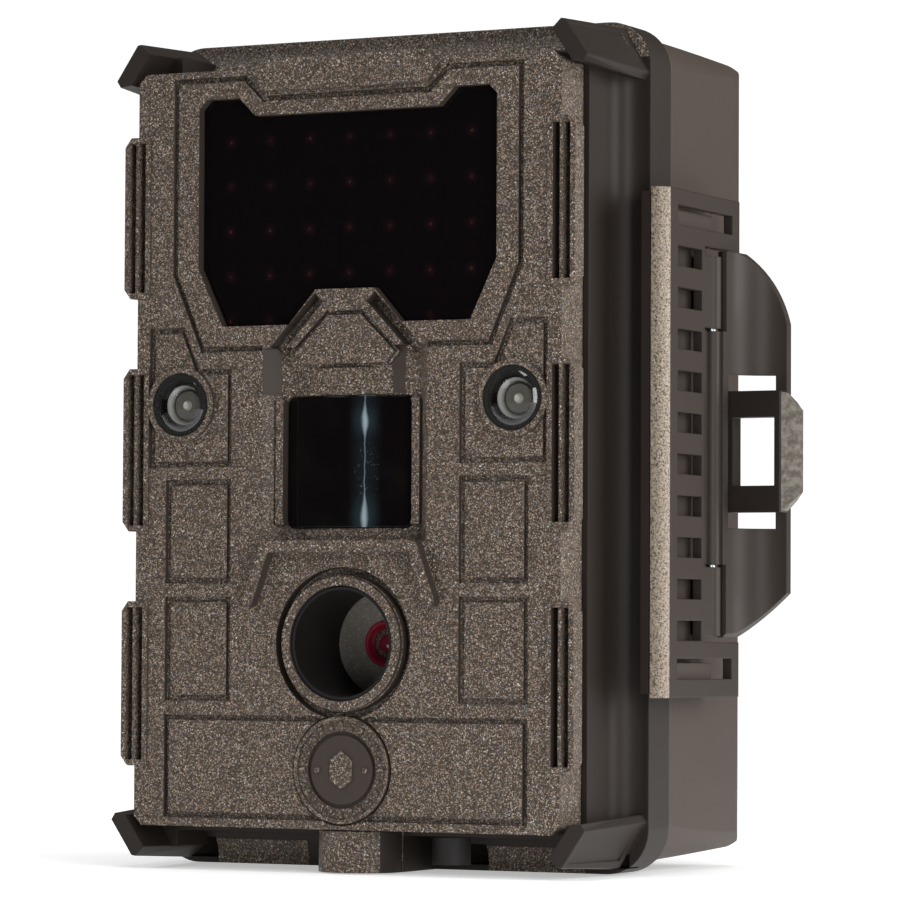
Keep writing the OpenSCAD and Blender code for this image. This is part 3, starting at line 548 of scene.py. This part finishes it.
class TRAILCAM_OT_finish_latch(bpy.types.Operator):
    """Finish the hook plate, the lever and their pins"""

    bl_idname = "trailcam.finish_latch"
    bl_label = "Finish latch"

    def execute(self, context):
        paint = context.scene.trail_camera_paint
        plastic = context.scene.trail_camera_plastic

        def lip(x, y, z, across, depth, up):
            """The front of the hook's lip."""
            return (depth < -0.12) * (y < LIP_BACK)

        # Painted shade and highlight: the hook is a copy of the plastic at 0.75 brightness, and its lip
        # paint gets pale patches of painted highlight.
        coat(["latch_hook"], two_tone("hook_plastic", plastic, paint, lip, 0.75, 0.8))
        # Painted shade: the lever is a copy of the plastic at 0.75 brightness.
        coat(["latch_lever"], one_tone("lever_plastic", plastic, 0.75))
        steel = plain_finish("pin_steel", (0.5, 0.51, 0.53), 0.35, Metallic=1.0)
        coat(["hook_pin", "lever_pin", "hinge_pin"], steel)
        return {"FINISHED"}


class TRAILCAM_OT_glaze_windows(bpy.types.Operator):
    """Glaze the lamp window and the motion window"""

    bl_idname = "trailcam.glaze_windows"
    bl_label = "Glaze windows"

    def execute(self, context):
        window = context.scene.trail_camera_window
        gloss = tuple(window.gloss)
        lamp_pane = Finish("lamp_window_gloss", gloss, 0.06, Specular_IOR_Level=0.35)
        x, _, z = lamp_pane.parts(lamp_pane.place())
        column = repeat(x, window.pitch)
        row = repeat(z - FIRST_LAMP_ROW, window.pitch)
        away = (column * column + row * row) ** 0.5
        # Painted glow: a soft halo of lamp colour and a dim spot over each lamp behind the window are
        # painted into the black glass.
        halo = 1.0 - lamp_pane.soft_step(away, 0.0, window.halo)
        spot = 1.0 - lamp_pane.soft_step(away, 0.12 * MM, 0.34 * MM)
        flicker = lamp_pane.soft_step(lamp_pane.noise(140, 1.0), 0.3, 0.7)
        glow = lamp_pane.blend_colour(halo * halo * 0.03, gloss, tuple(window.lamp))
        lamp_pane.feed("Base Color", lamp_pane.blend_colour(spot * flicker * 0.08, glow, (0.4, 0.14, 0.14)))
        coat(["ir_window"], lamp_pane)

        motion = Finish("motion_window_gloss", gloss, 0.05, Specular_IOR_Level=0.35)
        x, _, z = motion.parts(motion.place())
        # Painted reflection: an upright highlight with a hazy veil and fine specks, widest near the top and
        # bottom, is painted into the black glass of the motion window.
        wander = (motion.noise(420, 3.0) - 0.5) * (0.5 * MM)
        off = abs(x - PAINTED_REFLECTION_X + wander)
        height = (z - PIR_Z) / PIR_HALF
        upper = 1.0 - motion.soft_step(abs(height - 0.62), 0.0, 0.32)
        lower = 1.0 - motion.soft_step(abs(height + 0.84), 0.0, 0.42)
        ends = smallest(upper + lower, 1.0)
        spread = 0.16 * MM + ends * (0.7 * MM)
        reflection_core = 1.0 - motion.soft_step(off / spread, 0.0, 1.0)
        reflection_haze = 1.0 - motion.soft_step(off, 0.2 * MM, 3.2 * MM)
        middle = 1.0 - motion.soft_step(abs(height + 0.15), 0.1, 0.5)
        specks = motion.soft_step(motion.noise(2300, 4.0, 0.75), 0.58, 0.72)
        painted_reflection = smallest(reflection_core * (0.35 + 0.45 * ends) + reflection_haze * specks * middle * 0.5, 1.0)
        murk = motion.soft_step(motion.noise(120, 2.0), 0.45, 0.8)
        lit = motion.blend_colour(reflection_haze * (0.03 + 0.06 * ends), gloss, (0.16, 0.3, 0.36))
        lit = motion.blend_colour(murk * 0.02, lit, (0.12, 0.2, 0.1))
        motion.feed("Base Color", motion.blend_colour(painted_reflection, lit, (0.34, 0.42, 0.47)))
        facets = largest(repeat(x, 1.7 * MM), repeat(z, 5.4 * MM) * 0.4)
        motion.feed("Normal", motion.bump(facets, 0.03 * MM, 0.2))
        coat(["pir_window"], motion)
        coat(["pir_sensor"], plain_finish("sensor_can", (0.6, 0.6, 0.6), 0.3, Metallic=1.0))
        return {"FINISHED"}


class TRAILCAM_OT_build_indicators(bpy.types.Operator):
    """Build the clear domes, their reflector cups and their lamps"""

    bl_idname = "trailcam.build_indicators"
    bl_label = "Build indicators"

    def execute(self, context):
        clear = Finish("clear_dome", (0.02, 0.02, 0.019), 0.03, Coat_Weight=1.0, Coat_Roughness=0.03)
        # Painted shade: the dark dome grows opaque towards its rim, standing in for refraction at the edge.
        rim = clear.soft_step(self.reach(clear), 3.0 * MM, 4.7 * MM)
        clear.feed("Alpha", 0.14 + 0.76 * rim)
        coat(["indicator_lens_left", "indicator_lens_right"], clear)
        mirror = Finish("reflector_cup", (0.34, 0.34, 0.33), 0.35, Coat_Weight=0.4)
        # Painted reflection: the cup is matte grey, and its pale and dark rings stand in for the
        # reflections of a mirror cup.
        rings = repeat(self.reach(mirror), 0.9 * MM) / (0.45 * MM)
        mirror.feed("Base Color", mirror.blend_colour(rings, (0.16, 0.16, 0.15), (0.62, 0.61, 0.57)))
        bead_glass = Finish("indicator_bead", (0.75, 0.72, 0.62), 0.15, Coat_Weight=0.6)
        for side, sign in (("left", -1), ("right", 1)):
            cup = turned_shape([(3.34 * MM, -6.9 * MM), (3.0 * MM, -6.0 * MM), (2.6 * MM, -5.2 * MM),
                                (2.4 * MM, -4.2 * MM)], (sign * DOME_X, DOME_Z))
            new_piece("reflector_cup_" + side, *cup, mirror, "front_case", "steel", smooth=True)
            bead = turned_shape([(0.0001 * MM, -6.75 * MM), (0.5 * MM, -6.6 * MM), (0.8 * MM, -6.2 * MM),
                                 (0.85 * MM, -5.7 * MM)], (sign * DOME_X, DOME_Z), 24)
            new_piece("indicator_bead_" + side, *bead, bead_glass, "front_case", "lamp", smooth=True)
        lamp = plain_finish("indicator_lamp", (0.22, 0.21, 0.18), 0.2, Coat_Weight=0.5)
        coat(["indicator_leds"], lamp)
        return {"FINISHED"}

    def reach(self, finish):
        """Distance from the axis of the nearer dome."""
        x, _, z = finish.parts(finish.place())
        out_from = smallest(abs(x - DOME_X), abs(x + DOME_X))
        rise = z - DOME_Z
        return (out_from * out_from + rise * rise) ** 0.5


class TRAILCAM_OT_fit_lens(bpy.types.Operator):
    """Finish the lens tube, the red ring, the lens and the filter"""

    bl_idname = "trailcam.fit_lens"
    bl_label = "Fit lens"

    def execute(self, context):
        paint = context.scene.trail_camera_paint
        tube = Finish("lens_tube_black", TUBE_BLACK, 0.45, Specular_IOR_Level=0.2)
        y = tube.parts(tube.place())[1]
        depth = tube.parts(tube.facing())[1]
        floor = (depth < -0.7) * (y > TUBE_FLOOR)
        painted, leaned = flake_paint(tube, paint, tube.rounded_edges())
        painted = tube.blend_colour(floor * 0.4, painted, (0.6, 0.56, 0.5))
        tube.feed("Base Color", tube.blend_colour(floor, TUBE_BLACK, painted))
        tube.feed("Normal", tube.blend_vector(floor, tube.rounded_edges(), leaned))
        coat(["lens_tube"], tube)
        coat(["lens_holder", "filter_frame"], plain_finish("holder_black", (0.02, 0.02, 0.021), 0.5))
        coat(["lens_barrel"], plain_finish("red_ring", (0.42, 0.012, 0.04), 0.2, Coat_Weight=0.6))
        glass = Finish("red_lens", LENS_RED, 0.05, Coat_Weight=1.0)
        x, _, z = glass.parts(glass.place())
        rise = z - LENS_Z
        collar = ((x * x + rise * rise) ** 0.5) > LENS_COLLAR
        painted = flake_paint(glass, paint, glass.rounded_edges())[0]
        glass.feed("Base Color", glass.blend_colour(collar, LENS_RED, painted))
        glass.feed("Roughness", 0.05 + 0.3 * collar)
        coat(["lens_glass"], glass)
        coat(["ir_filter"], Finish("blue_filter", (0.12, 0.42, 0.5), 0.05, Coat_Weight=1.0))
        return {"FINISHED"}


class TRAILCAM_OT_fit_electronics(bpy.types.Operator):
    """Finish the circuit boards, sockets, card, switch and lamps"""

    bl_idname = "trailcam.fit_electronics"
    bl_label = "Fit electronics"

    def execute(self, context):
        board = Finish("solder_mask", BOARD_GREEN, 0.35, Coat_Weight=0.3)
        x, _, z = board.parts(board.place())
        tracks = smallest(repeat(x, 1.6 * MM), repeat(z, 2.1 * MM))
        copper = 1.0 - board.soft_step(tracks, 0.14 * MM, 0.2 * MM)
        routed = copper * board.soft_step(board.noise(95, 2.0), 0.5, 0.54)
        green = board.blend_colour(routed, BOARD_GREEN, (0.03, 0.17, 0.07))
        pads = (repeat(x + 0.8 * MM, 3.2 * MM) ** 2.0 + repeat(z + 1 * MM, 4.2 * MM) ** 2.0) ** 0.5
        pad = (pads < 0.42 * MM) * (board.noise(60, 1.0) > 0.52)
        board.feed("Base Color", board.blend_colour(pad, green, (0.72, 0.6, 0.36)))
        board.feed("Metallic", pad)
        coat(["main_board", "image_sensor_board", "ir_led_board"], board)
        coat(["ir_leds"], Finish("lamp_epoxy", (0.12, 0.01, 0.02), 0.12, Coat_Weight=0.8))
        steel = plain_finish("plated_steel", (0.62, 0.63, 0.65), 0.28, Metallic=1.0)
        coat(["sd_socket", "usb_socket", "panel_screws", "board_screws", "cover_screws", "bracket_screws",
              "battery_springs", "contact_strips"], steel)
        brass = plain_finish("machined_brass", (0.72, 0.52, 0.22), 0.3, Metallic=1.0)
        coat(["tripod_insert", "spring_pins", "transfer_posts"], brass)
        black = plain_finish("black_plastic", (0.022, 0.022, 0.023), 0.5)
        coat(["dc_jack", "power_switch"], black)
        coat(["dc_plug"], plain_finish("plug_rubber", (0.02, 0.017, 0.016), 0.6))
        card = Finish("card_plastic", (0.03, 0.045, 0.11), 0.4)
        card.feed("Normal", card.rounded_edges())
        coat(["sd_card"], card)
        label = Finish("card_label", (0.75, 0.75, 0.73), 0.55)
        low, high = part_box("sd_card")
        middle = (low + high) / 2
        paper = bar_outline((middle.x, middle.z + 1 * MM), 18 * MM, 22 * MM)
        shape = slab_shape([paper], high.y, high.y + 0.06 * MM)
        new_piece("card_label", *shape, label, "card", "card")
        return {"FINISHED"}


class TRAILCAM_OT_build_keypad(bpy.types.Operator):
    """Finish the keys and raise a symbol on each"""

    bl_idname = "trailcam.build_keypad"
    bl_label = "Build keypad"

    def execute(self, context):
        rubber = plain_finish("key_rubber", (0.2, 0.195, 0.188), 0.62, 2200, 0.03 * MM)
        ink = Finish("key_symbol", (0.72, 0.72, 0.7), 0.5)
        coat(KEYS, rubber)
        turns = {"up_key": 90, "down_key": -90, "left_key": 180, "right_key": 0}
        for name in KEYS:
            centre = centre_of(name)
            at = (centre.x, centre.z)
            if name in turns:
                outlines = [self.arrow_outline(at, 1.5 * MM, turns[name])]
            elif name == "ok_key":
                outlines = [circle_outline(at, 1.2 * MM)]
            else:
                outlines = [bar_outline((at[0], at[1] + step * MM), 2.8 * MM, 0.45 * MM)
                            for step in (-1, 0, 1)]
            shape = slab_shape(outlines, KEY_FACE - 0.05 * MM, KEY_FACE + 0.12 * MM)
            new_piece(name + "_symbol", *shape, ink, name, "key_rubber")
        return {"FINISHED"}

    def arrow_outline(self, centre, size, turn):
        """A triangle whose tip points the way that turn gives, in degrees."""
        corners = [math.radians(turn + step) for step in (0, 125, 235)]
        return [(centre[0] + size * math.cos(angle), centre[1] + size * math.sin(angle))
                for angle in corners]


class TRAILCAM_OT_build_display(bpy.types.Operator):
    """Finish the display and put its bezel round it"""

    bl_idname = "trailcam.build_display"
    bl_label = "Build display"

    def execute(self, context):
        glass = Finish("display_glass", (0.05, 0.065, 0.07), 0.06, Coat_Weight=0.7)
        x, _, z = glass.parts(glass.place())
        border = largest(abs(x) > SCREEN_HALF, 1.0 - between(z, SCREEN_FOOT, SCREEN_HEAD))
        glow = glass.soft_step(glass.noise(30, 1.0), 0.3, 0.7)
        panel = glass.blend_colour(glow, (0.06, 0.075, 0.085), (0.085, 0.1, 0.11))
        glass.feed("Base Color", glass.blend_colour(border, panel, (0.01, 0.01, 0.011)))
        coat(["lcd_window"], glass)
        coat(["lcd_module"], plain_finish("display_module", (0.04, 0.045, 0.055), 0.4))
        return {"FINISHED"}


class TRAILCAM_OT_fill_battery_bay(bpy.types.Operator):
    """Finish the cells and mark which way round they go"""

    bl_idname = "trailcam.fill_battery_bay"
    bl_label = "Fill battery bay"

    def execute(self, context):
        cells = Finish("cell_sleeve", SLEEVE_COPPER, 0.25, Metallic=0.6)
        z = cells.parts(cells.place())[2]
        low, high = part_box("aa_cells")
        along = z - low.z
        half = (high.z - low.z) / 2
        upper = along > half + 2.5 * MM
        within = along - upper * CELL_ROW_PITCH
        black = (within < 35 * MM) * (within > 1.2 * MM)
        cap = largest(within > 49 * MM, within < 1.2 * MM)
        sleeve = cells.blend_colour(black, SLEEVE_COPPER, (0.02, 0.02, 0.022))
        cells.feed("Base Color", cells.blend_colour(cap, sleeve, (0.7, 0.7, 0.7)))
        cells.feed("Metallic", largest(cap, 0.6 * (1.0 - black)))
        coat(["aa_cells"], cells)
        ink = Finish("polarity_mark", (0.55, 0.54, 0.52), 0.6)
        stroke = (3.2 * MM, 0.6 * MM)
        marks = []
        for x in CELL_COLUMNS:
            marks += [bar_outline((x, MINUS_Z), *stroke), bar_outline((x, PLUS_Z), *stroke),
                      bar_outline((x, PLUS_Z), *reversed(stroke))]
        shape = slab_shape(marks, COVER_FACE - 0.12 * MM, COVER_FACE + 0.05 * MM)
        new_piece("polarity_marks", *shape, ink, "rear_case", "key_rubber")
        return {"FINISHED"}


class TRAILCAM_OT_set_studio(bpy.types.Operator):
    """Lay the floor, hang the lights and place the camera"""

    bl_idname = "trailcam.set_studio"
    bl_label = "Set studio"

    def execute(self, context):
        studio = context.scene.trail_camera_studio
        self.lay_floor(studio)
        self.hang_world(context, studio)
        middle = (0.0, 0.02, 0.07)
        self.hang_light("key_light", (1.15, 0.5, 0.35), middle, 0.9, 1.1, studio.key)
        self.hang_light("side_light", (0.36, -0.26, 0.12), (0.03, 0.0, 0.07), 0.15, 0.32, studio.side)
        self.hang_light("front_light", (-0.75, -0.85, 0.8), middle, 0.45, 0.45, studio.front)
        self.hang_light("top_light", (0.1, -0.05, 1.3), middle, 0.9, 0.9, studio.top)
        self.hang_light("back_light", (-0.9, 0.6, 0.6), middle, 0.8, 0.7, studio.front * 0.5)
        self.place_camera(context)
        context.scene.view_settings.view_transform = "Standard"
        return {"FINISHED"}

    def lay_floor(self, studio):
        mesh = bpy.data.meshes.new("floor")
        edge = circle_outline((0.0, 0.02), 0.42, 96)
        mesh.from_pydata([(x, y, 0.0) for x, y in edge], [], [list(range(len(edge)))])
        floor = bpy.data.objects.new("floor", mesh)
        finish = Finish("floor_paint", tuple(studio.floor), 0.8, Emission_Color=(1.0, 1.0, 1.0),
                        Emission_Strength=studio.glow)
        mesh.materials.append(finish.material)
        floor.location.z = -0.2 * MM
        bpy.context.collection.objects.link(floor)

    def hang_world(self, context, studio):
        world = bpy.data.worlds.new("studio_world")
        context.scene.world = world
        world.use_nodes = True
        tree = world.node_tree
        tree.nodes.clear()
        seen = tree.nodes.new("ShaderNodeLightPath")
        bright = tree.nodes.new("ShaderNodeMix")
        bright.inputs[2].default_value = studio.fill
        bright.inputs[3].default_value = studio.backdrop
        sky = tree.nodes.new("ShaderNodeBackground")
        sky.inputs["Color"].default_value = WHITE
        surface = tree.nodes.new("ShaderNodeOutputWorld")
        tree.links.new(seen.outputs["Is Camera Ray"], bright.inputs[0])
        tree.links.new(bright.outputs[0], sky.inputs["Strength"])
        tree.links.new(sky.outputs[0], surface.inputs[0])

    def hang_light(self, name, place, target, width, height, power):
        light = bpy.data.lights.new(name, "AREA")
        light.shape = "RECTANGLE"
        light.size = width
        light.size_y = height
        light.energy = power
        lamp = bpy.data.objects.new(name, light)
        lamp.location = place
        lamp.rotation_euler = (Vector(target) - Vector(place)).to_track_quat("-Z", "Y").to_euler()
        bpy.context.collection.objects.link(lamp)

    def place_camera(self, context):
        lens = bpy.data.cameras.new("camera")
        lens.lens = 180
        lens.sensor_width = 36
        lens.clip_start = 0.05
        lens.clip_end = 30
        camera = bpy.data.objects.new("camera", lens)
        bpy.context.collection.objects.link(camera)
        right = Vector((0.89106798, 0.4538426, 0.00497438))
        up = Vector((0.01485027, -0.04010736, 0.99908502))
        back = Vector((0.45362685, -0.8901788, -0.04247807))
        camera.matrix_world = Matrix((
            (right.x, up.x, back.x, 0.350472),
            (right.y, up.y, back.y, -0.657319),
            (right.z, up.z, back.z, 0.037927),
            (0, 0, 0, 1)))
        context.scene.camera = camera


OPERATORS = (
    TRAILCAM_OT_paint_front,
    TRAILCAM_OT_mould_shells,
    TRAILCAM_OT_finish_latch,
    TRAILCAM_OT_glaze_windows,
    TRAILCAM_OT_build_indicators,
    TRAILCAM_OT_fit_lens,
    TRAILCAM_OT_fit_electronics,
    TRAILCAM_OT_build_keypad,
    TRAILCAM_OT_build_display,
    TRAILCAM_OT_fill_battery_bay,
    TRAILCAM_OT_set_studio,
)


class TRAILCAM_PT_sidebar(bpy.types.Panel):
    """Lists the steps of the trail camera and their settings"""

    bl_idname = "TRAILCAM_PT_sidebar"
    bl_label = "Trail Camera"
    bl_space_type = "VIEW_3D"
    bl_region_type = "UI"
    bl_category = "Trail Camera"

    def draw(self, context):
        layout = self.layout
        for attribute, group in SETTINGS.items():
            box = layout.box()
            box.label(text=group.__name__.replace("Settings", ""))
            for key in group.__annotations__:
                box.prop(getattr(context.scene, attribute), key)
        for operator in OPERATORS:
            layout.operator(operator.bl_idname)


def register():
    for group in SETTINGS.values():
        bpy.utils.register_class(group)
    for attribute, group in SETTINGS.items():
        setattr(bpy.types.Scene, attribute, bpy.props.PointerProperty(type=group))
    for operator in OPERATORS:
        bpy.utils.register_class(operator)
    bpy.utils.register_class(TRAILCAM_PT_sidebar)


def unregister():
    bpy.utils.unregister_class(TRAILCAM_PT_sidebar)
    for operator in reversed(OPERATORS):
        bpy.utils.unregister_class(operator)
    for attribute in SETTINGS:
        delattr(bpy.types.Scene, attribute)
    for group in SETTINGS.values():
        bpy.utils.unregister_class(group)


def main():
    register()
    bpy.ops.trailcam.paint_front()
    bpy.ops.trailcam.mould_shells()
    bpy.ops.trailcam.finish_latch()
    bpy.ops.trailcam.glaze_windows()
    bpy.ops.trailcam.build_indicators()
    bpy.ops.trailcam.fit_lens()
    bpy.ops.trailcam.fit_electronics()
    bpy.ops.trailcam.build_keypad()
    bpy.ops.trailcam.build_display()
    bpy.ops.trailcam.fill_battery_bay()
    bpy.ops.trailcam.set_studio()


if __name__ == "__main__":
    main()
